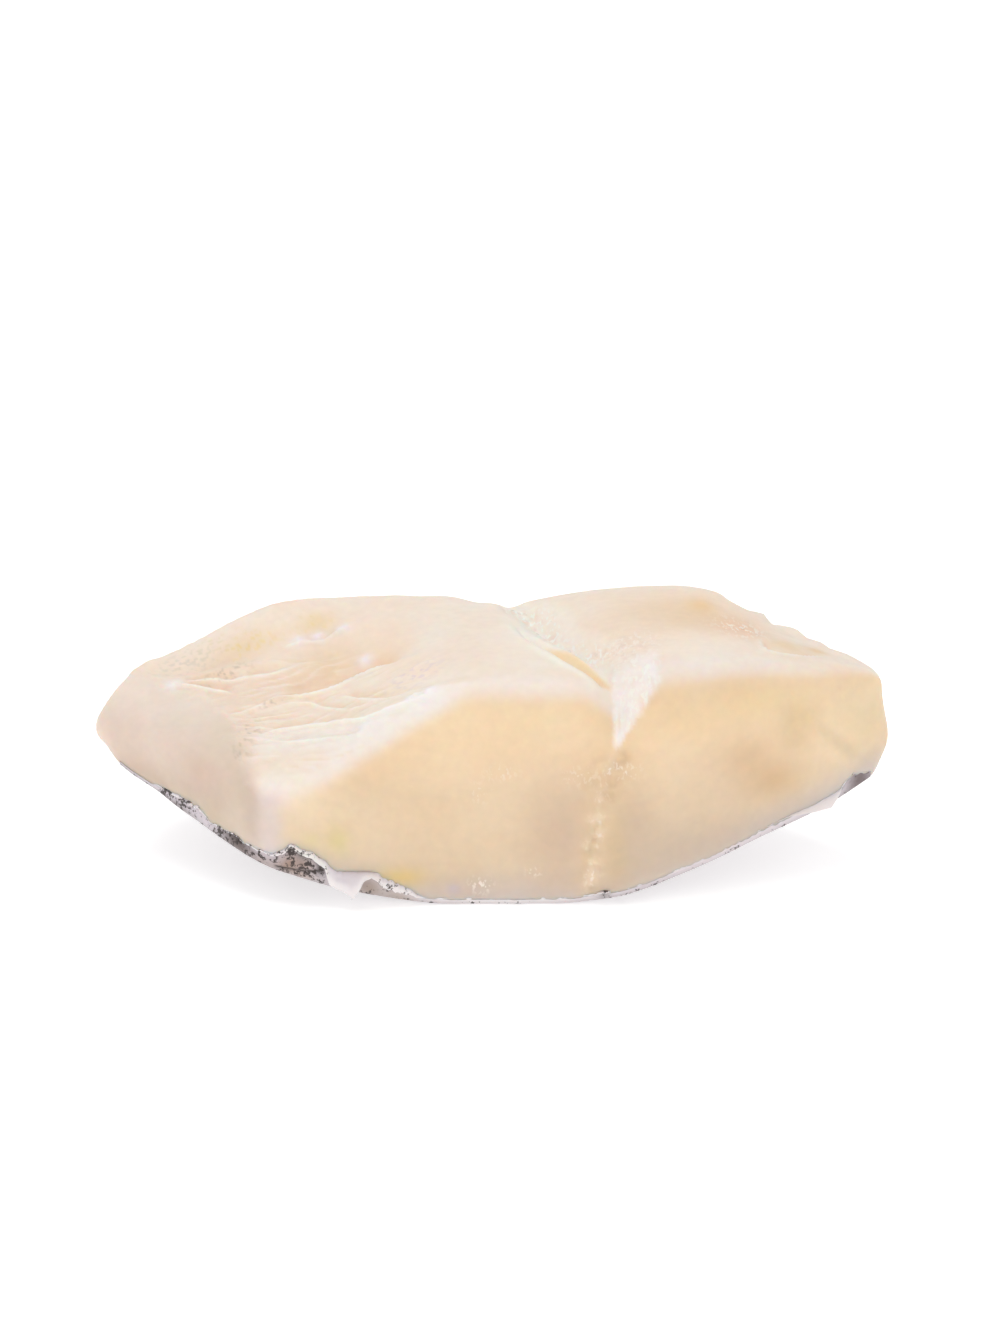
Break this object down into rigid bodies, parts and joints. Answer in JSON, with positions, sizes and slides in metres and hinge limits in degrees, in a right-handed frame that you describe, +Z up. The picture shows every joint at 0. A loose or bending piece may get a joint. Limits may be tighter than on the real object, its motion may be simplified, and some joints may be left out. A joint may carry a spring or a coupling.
{
  "type": "salted dried cod loin",
  "caption": "Thick portion of salted cod loin lying on its own skin, with a groove across the top and open flakes at the low end.",
  "frame": {"origin": "on the table, under the middle of the portion's bounding box", "axes": "+X across the fillet towards the thin belly side, +Y from the front cut to the back cut, +Z up away from the skin"},
  "size_m": [0.14, 0.0577, 0.0434],
  "materials": {
    "flesh": "moist, pale cream fish flesh, slightly translucent",
    "skin": "wet silver-grey fish skin with darker specks"
  },
  "bodies": {
    "root": {"flesh": "flesh", "skin": "skin"}
  },
  "joints": []
}
